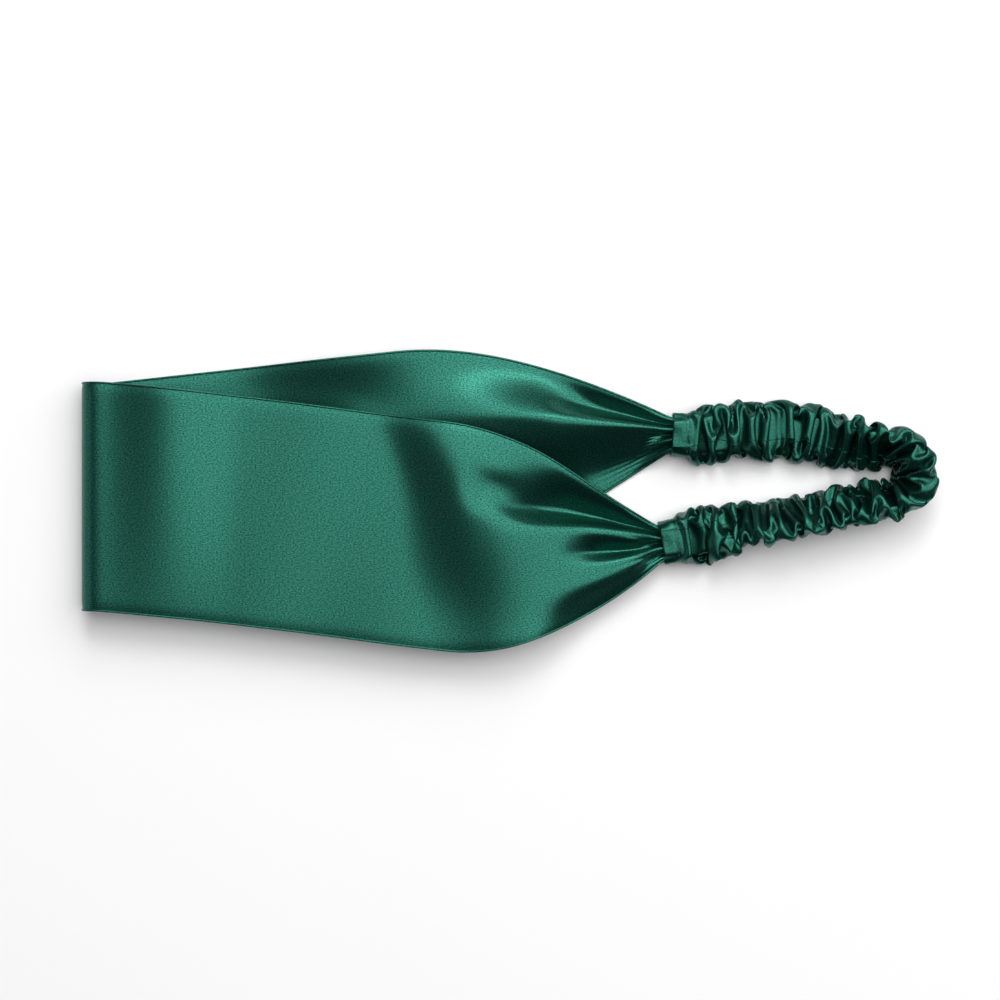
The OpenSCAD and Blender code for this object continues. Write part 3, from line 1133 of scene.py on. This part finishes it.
@dataclass(frozen=True)
class Ruffles:
    """The wave that the casing's cloth is laid out in, and how it wanders.

    Each turn is in radians of the wave, and each reach is the length of cloth over which it changes.
    """

    pitch: float = 9.6 * MM
    bulge: float = 0.558
    tilt: float = 0.232
    ease: float = 0.9
    ring_turn: float = 3.4
    ring_reach: float = 12 * MM
    common_turn: float = 4.0
    common_reach: float = 17 * MM
    seam_turn: float = 2.4
    seam_reach: float = 26 * MM
    seam_fade: float = 0.9
    seam_flat: float = 0.6
    seam_width: float = 0.16
    uneven: float = 0.5
    uneven_reach: float = 8 * MM
    end_run: float = 5 * MM
    pucker_cols: float = 3.2
    pucker_mm: float = 0.42
    pucker_out: float = 0.2 * MM
    groove: float = 0.3 * MM
    groove_width: float = 0.5 * MM

    def phase(self, f: Array, theta: Array, from_seam: Array, rng: np.random.Generator) -> Array:
        """Turn of the wave at distances f along the cloth and angles theta round it.

        Args:
            f: distances along the cloth.
            theta: angles round it.
            from_seam: the same angles, measured from the seam.
            rng: source of the random numbers.

        Returns:
            Rows by cols, in radians.
        """
        phase = 2 * math.pi * f[:, None] / self.pitch + np.zeros(len(theta))
        for turn in (1, 2, 3):
            for trig in (np.cos, np.sin):
                wander = soft_noise(f, self.ring_reach, rng)[:, None]
                phase += (self.ring_turn / turn) * wander * trig(turn * theta)
        phase += self.common_turn * soft_noise(f, self.common_reach, rng)[:, None]
        lean = np.sign(from_seam) * np.exp(-np.abs(from_seam) / self.seam_fade)
        phase += self.seam_turn * lean * soft_noise(f, self.seam_reach, rng)[:, None]
        return phase

    def pucker(self, end: Array, plain: float, cols: int, rng: np.random.Generator) -> Array:
        """Uneven cloth of a plain mouth: one set of dents that fades inwards and one that turns over.

        Args:
            end: distances from the nearer end of the cloth, rows by 1.
            plain: length of the plain cloth.
            cols: points round it.
            rng: source of the random numbers.

        Returns:
            Rows by cols heights.
        """
        inwards = smooth(end / plain)
        dents = 0.0
        for last in (0.3, -1.0):
            dent = soft_noise(np.arange(cols, dtype=float), self.pucker_cols, rng)
            dents = dents + dent * mix(1.0, last, inwards)
        return dents * self.pucker_mm * MM


class RuchedCasing:
    """The gathered tube of satin, the elastic in it and the stitches that hold it to the band."""

    def __init__(self, route: Route, sizes: CasingSizes, rng: np.random.Generator) -> None:
        """Keep what the casing is made from.

        Args:
            route: the line that it follows.
            sizes: its sizes.
            rng: source of the random numbers.
        """
        self.route, self.sizes, self.rng = route, sizes, rng
        self.length = 0.0
        self.rings = np.zeros((0, 0, 3))

    @property
    def plain(self) -> float:
        """Length of the plain cloth at each mouth."""
        return self.route.mouth_length - MM

    @property
    def cut_length(self) -> float:
        """Length of the strip that the casing is cut from, with its hems."""
        return self.length + 2 * (self.sizes.hem + self.sizes.hem_lip)

    def _ring(self, s: Array, theta: Array, grow: Array, shift: Array) -> Array:
        """Points of the casing.

        Args:
            s: distances from the back mouth.
            theta: angles round it.
            grow: how far each point is moved outwards.
            shift: how far each point is moved along.

        Returns:
            N by 3 points.
        """
        z = self.sizes
        centre, heading, twist, full = self.route.casing(s.ravel())
        q = theta.ravel()
        a = mix(z.mouth_width / 2, z.elastic_width / 2 + z.room_wide, full) + grow.ravel()
        b = mix(z.mouth_height / 2, z.elastic_thick / 2 + z.room_tall, full) + grow.ravel()
        power = mix(z.mouth_square, 1.0, full)
        x = a * np.sign(np.cos(q)) * np.abs(np.cos(q)) ** power
        y = b * np.sign(np.sin(q)) * np.abs(np.sin(q)) ** power
        side, up = x * np.cos(twist) - y * np.sin(twist), x * np.sin(twist) + y * np.cos(twist)
        xy = centre[:, :2] + Route.aside(heading) * side[:, None] + Route.ahead(heading) * shift.ravel()[:, None]
        return np.column_stack([xy, centre[:, 2] + up])

    def start_shape(self) -> tuple[Array, Array, int]:
        """Lay the cloth out in ruffles.

        Returns:
            Points (N by 3), flat places (N by 2) and the number of rows.
        """
        z, w, whole, plain = self.sizes, Ruffles(), sum(self.route.runs), self.plain
        self.length = 2 * plain + (whole - 2 * plain) * z.fullness
        rows = round(self.length / (z.around / z.cols))
        f = np.linspace(0, self.length, rows)
        s = np.interp(f, [0, plain, self.length - plain, self.length], [0, plain, whole - plain, whole])
        theta = z.seam_angle + np.arange(z.cols) * 2 * math.pi / z.cols
        from_seam = np.angle(np.exp(1j * (theta - z.seam_angle)))
        phase = w.phase(f, theta, from_seam, self.rng)
        at_seam = 1 - w.seam_flat * np.exp(-(from_seam / w.seam_width) ** 2)
        size = (1.0 + w.uneven * soft_noise(f, w.uneven_reach, self.rng)[:, None]) * at_seam
        end = np.minimum(f, self.length - f)[:, None]
        ends = smooth((end - plain) / w.end_run)
        grow = 2 * w.bulge * w.pitch / (2 * math.pi) * size * (1 - np.cos(phase)) * ends * w.ease
        groove = w.groove * np.exp(-((end - z.stitch_at) / w.groove_width) ** 2)
        grow = grow + (1 - ends) * (w.pucker(end, plain, z.cols, self.rng) - groove + w.pucker_out)
        shift = 2 * w.tilt * w.pitch / (4 * math.pi) * np.sin(2 * phase) * ends
        grid_s = np.broadcast_to(s[:, None], grow.shape)
        points = self._ring(grid_s, np.broadcast_to(theta, grow.shape), grow, shift)
        round_it = np.arange(z.cols) * z.around / z.cols
        flat = np.stack(np.broadcast_arrays(f[:, None], round_it[None]), -1)
        return points, flat.reshape(-1, 2), rows

    def relax(self) -> tuple[Array, Array, int]:
        """Let the ruffles settle round the elastic and against each other.

        Returns:
            Points, flat places and the number of rows.
        """
        z, r = self.sizes, self.route
        points, flat, rows = self.start_shape()
        net = Net(points, rows, z.cols, closed=True)
        plain_rows = round(self.plain / (z.around / z.cols))
        fixed = np.zeros((rows, z.cols), dtype=bool)
        fixed[:plain_rows] = fixed[-plain_rows:] = True
        net.weight = np.where(fixed.ravel(), 0.0, 1.0)
        for down, over, pull in ((1, 0, 0.9), (0, 1, 0.9), (1, 1, 0.3), (1, -1, 0.3),
                                 (2, 0, 0.06), (0, 2, 0.06), (4, 0, 0.006), (0, 4, 0.006)):
            net.join(flat, down, over, pull)
        line_points, search, search_every, part_every = 240, 14, 6, 4
        line_s = np.linspace(0, sum(r.runs), line_points)
        centre, flat_way, thin_way = self.core(line_s)
        half_w, half_t = z.elastic_width / 2 + z.air, z.elastic_thick / 2 + z.air
        nearest = np.zeros(len(points), dtype=int)
        guess = np.interp(flat[:, 0], [0, self.length], [0, len(line_s) - 1])

        def clear_elastic(p: Array, step: int) -> None:
            """Keep the cloth out of the elastic, above the table and off itself.

            Args:
                p: the net's points, changed in place.
                step: number of the step.
            """
            if step % search_every == 0:
                near = guess[:, None].astype(int) + np.arange(-search, search + 1)
                window = np.clip(near, 0, len(line_s) - 1)
                apart = p[:, None] - centre[window]
                nearest[:] = np.take_along_axis(window, (apart ** 2).sum(-1).argmin(1)[:, None], 1)[:, 0]
            away = p - centre[nearest]
            x = (away * flat_way[nearest]).sum(1)
            y = (away * thin_way[nearest]).sum(1)
            depth = ((x / half_w) ** 4 + (y / half_t) ** 4) ** 0.25 + 1e-9
            inside = (depth < 1) & (net.weight > 0)
            push = (1 / depth - 1)[:, None] * (x[:, None] * flat_way[nearest] + y[:, None] * thin_way[nearest])
            p[inside] += push[inside]
            np.maximum(p[:, 2], z.rest_z, out=p[:, 2])
            if step % part_every == 0:
                before = p[fixed.ravel()].copy()
                keep_apart(p, z.cloth_gap, z.cols)
                p[fixed.ravel()] = before

        net.rules.append(clear_elastic)
        net.settle(260, keep=0.9, fall=FALL)
        return net.points, flat, rows

    def core(self, s: Array) -> tuple[Array, Array, Array]:
        """Line of the elastic.

        Args:
            s: distances from the back mouth.

        Returns:
            Its centres, and the directions of its width and of its thickness.
        """
        centre, heading, twist, full = self.route.casing(s)
        centre[:, 2] -= self.sizes.elastic_drop * (1 - full)
        aside = np.column_stack([Route.aside(heading), np.zeros(len(heading))])
        up = np.array([0.0, 0.0, 1.0])
        turn, lean = np.cos(twist)[:, None], np.sin(twist)[:, None]
        return centre, aside * turn + up * lean, up * turn - aside * lean

    def _hem(self, end: Array, before: Array) -> Array:
        """Two rows that turn the cloth in at an end.

        Args:
            end: the end row (cols by 3).
            before: the row next to it.

        Returns:
            2 by cols by 3, the inner row first.
        """
        to_middle = end.mean(0) - end
        to_middle /= np.linalg.norm(to_middle, axis=1, keepdims=True)
        inwards = (before - end).mean(0)
        inwards /= np.linalg.norm(inwards)
        lip = end + to_middle * self.sizes.hem_lip
        return np.stack([lip + inwards * self.sizes.hem, lip])

    def build(self, thread: bpy.types.Material) -> dict[str, bpy.types.Object]:
        """Make the casing as a strip sewn into a tube, its seam, the elastic and the join stitches.

        Args:
            thread: material of the stitches.

        Returns:
            The pieces by name.
        """
        z = self.sizes
        points, flat, rows = self.relax()
        rings, cloth = points.reshape(rows, z.cols, 3), flat.reshape(rows, z.cols, 2)
        self.rings = rings
        rings = np.concatenate([self._hem(rings[0], rings[1]), rings, self._hem(rings[-1], rings[-2])[::-1]])
        back, lip = -z.hem - z.hem_lip, -z.hem_lip
        along = np.concatenate([[back, lip], cloth[:, 0, 0], [self.length - lip, self.length - back]])
        strip = np.concatenate([rings, rings[:, :1]], axis=1)
        across = np.arange(z.cols + 1) * z.around / z.cols
        uv = np.stack(np.broadcast_arrays(along[:, None], across[None]), -1).reshape(-1, 2)
        grid = np.arange(strip.shape[0] * strip.shape[1]).reshape(strip.shape[:2])
        quads = np.stack([grid[:-1, :-1], grid[:-1, 1:], grid[1:, 1:], grid[1:, :-1]], -1).reshape(-1, 4)
        pieces = {"casing": add_mesh("ruched_casing", strip.reshape(-1, 3), quads.tolist(), uv)}
        subdivide(pieces["casing"])
        pieces["seam"] = thread_mesh("casing_seam", refine(self.rings[:, 0], 1), z.seam_radius, sides=6)
        pieces["elastic"] = self._elastic()
        row = StitchRow()
        for name, at in (("back_stitches", 0), ("front_stitches", -1)):
            pieces[name] = row.sew(name, self._stitch_lines(at), thread)
        LOG.info("casing: %d by %d net, %.0f mm of cloth on %.0f mm", rows, z.cols, self.length / MM,
                 sum(self.route.runs) / MM)
        return pieces

    def _stitch_lines(self, end: int) -> list[tuple[Array, Array]]:
        """Closed lines round a mouth, where the join is stitched.

        Args:
            end: 0 for the back mouth, -1 for the front one.

        Returns:
            Points and outward directions of each line.
        """
        step = self.length / (len(self.rings) - 1)
        proud, lines = 0.1, []
        for beside in (-0.5 * MM, 0.6 * MM):
            k = round((self.sizes.stitch_at + beside) / step)
            ring = self.rings[k if end == 0 else -1 - k]
            ring = refine(np.concatenate([ring, ring[:1]]), 1)
            outwards = ring - ring.mean(0)
            outwards /= np.linalg.norm(outwards, axis=1, keepdims=True)
            lines.append((ring + outwards * proud * MM, outwards))
        return lines

    def _elastic(self) -> bpy.types.Object:
        """Woven elastic with a rib along each cord."""
        z, ribs, rib_steps, steps = self.sizes, 7, 6, 200
        s = np.linspace(z.elastic_end, sum(self.route.runs) - z.elastic_end, steps)
        centre, flat_way, thin_way = self.core(s)
        x = np.linspace(-1, 1, ribs * rib_steps + 1)
        rib = 0.8 + 0.2 * np.abs(np.sin(x * ribs * math.pi / 2))
        thick = z.elastic_thick / 2 * rib * (1 - np.abs(x) ** 16) ** 0.5
        outline = np.concatenate([np.stack([x * z.elastic_width / 2, thick], -1),
                                  np.stack([x * z.elastic_width / 2, -thick], -1)[-2:0:-1]])
        points = (centre[:, None] + outline[None, :, :1] * flat_way[:, None]
                  + outline[None, :, 1:] * thin_way[:, None])
        n = len(outline)
        grid = np.arange(steps * n).reshape(steps, n)
        after = np.roll(grid, -1, axis=1)
        quads = np.stack([grid[:-1], grid[1:], after[1:], after[:-1]], -1).reshape(-1, 4).tolist()
        faces = quads + [tuple(grid[0]), tuple(grid[-1][::-1])]
        uv = np.stack(np.broadcast_arrays(s[:, None], outline[None, :, 0]), -1).reshape(-1, 2)
        return add_mesh("elastic", points.reshape(-1, 3), faces, uv)

    def dress(self, pieces: dict[str, bpy.types.Object], cloth: SatinFinish, thread: bpy.types.Material,
              elastic: ElasticFinish) -> None:
        """Give the pieces their cloth and thread, and let them follow the elastic.

        Args:
            pieces: the casing's pieces by name.
            cloth: the satin, a darker copy of the band's satin as painted shade.
            thread: material of the stitches.
            elastic: the woven elastic.
        """
        cad = {"casing": ("casing_back_mouth", "casing_back_arm", "casing_bend", "casing_front_arm",
                          "casing_front_mouth"),
               "seam": ("casing_long_seam",), "elastic": ("elastic_strip",),
               "back_stitches": ("back_join_stitching",), "front_stitches": ("front_join_stitching",)}
        satin = cloth.material()
        mats = {"casing": satin, "seam": satin, "elastic": elastic.material()}
        for name, piece in pieces.items():
            if name in mats:
                piece.data.materials.append(mats[name])
                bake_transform(piece)
            else:
                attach(piece, "band")
            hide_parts(*cad[name])


# ---------------------------------------------------------------- the studio


class Studio:
    """Pale table, soft light and the camera above."""

    def build(self) -> None:
        """Make the table, the lights and the camera."""
        scene = bpy.context.scene
        scene.view_settings.view_transform = "Standard"
        corners = np.array([[-3, -3, 0], [3, -3, 0], [3, 3, 0], [-3, 3, 0]])
        table = add_mesh("table", corners, [(0, 1, 2, 3)])
        table.data.materials.append(TableFinish("table_white", (0.90, 0.90, 0.91)).material())
        self._light("window", (0.55, 0.68, 1.5), 2.8, 62.0, (1.0, 0.99, 0.98))
        self._light("sky", (0.05, 1.45, 1.6), 0.7, 9.0, (1.0, 1.0, 1.0))
        self._light("wall", (-2.4, -0.2, 0.8), 1.1, 4.0, (0.93, 0.97, 1.0))
        world = bpy.data.worlds.new("room")
        world.use_nodes = True
        set_inputs(world.node_tree, world.node_tree.nodes["Background"],
                   {"Color": (0.9, 0.94, 1.0, 1.0), "Strength": 0.03})
        scene.world = world
        camera = bpy.data.cameras.new("camera")
        camera.lens = 85
        camera.sensor_width = 36
        seen = 290 * MM
        height = seen * camera.lens / camera.sensor_width
        holder = bpy.data.objects.new("camera", camera)
        holder.location = (-1.5 * MM, 0.0, height)
        scene.collection.objects.link(holder)
        scene.camera = holder

    @staticmethod
    def _light(name: str, at: tuple[float, float, float], size: float, power: float,
               color: tuple[float, float, float]) -> None:
        """Hang a lamp that faces the middle of the table.

        Args:
            name: name of the lamp.
            at: where it hangs.
            size: side of its square.
            power: in watts.
            color: its colour.
        """
        lamp = bpy.data.lights.new(name, "AREA")
        lamp.shape = "SQUARE"
        lamp.size = size
        lamp.energy = power
        lamp.color = color
        holder = bpy.data.objects.new(name, lamp)
        holder.location = at
        aim = -np.array(at)
        aim /= np.linalg.norm(aim)
        holder.rotation_euler = mathutils.Vector(aim).to_track_quat("-Z", "Y").to_euler()
        bpy.context.scene.collection.objects.link(holder)


def main() -> None:
    """Build the headband, piece by piece."""
    logging.basicConfig(level=logging.INFO, format="%(message)s")
    rng = np.random.default_rng(SEED)
    route = Route()
    Studio().build()
    emerald = SatinFinish("emerald_satin", (0.0105, 0.104, 0.075))
    # The casing is the same emerald satin, made darker: painted shade for the shadow in its ruffles.
    shaded_casing_cloth = SatinFinish("casing_satin", (0.0095, 0.086, 0.062), speckle=0.45)
    sewing = ThreadFinish("sewing_thread", (0.012, 0.09, 0.065))
    band = SatinBand(route, BandSizes(), rng)
    band.dress(band.build(), emerald, sewing)
    casing = RuchedCasing(route, CasingSizes(), rng)
    thread = sewing.material()
    casing.dress(casing.build(thread), shaded_casing_cloth, thread, ElasticFinish("white_elastic", (0.8, 0.79, 0.75)))


if __name__ == "__main__":
    main()
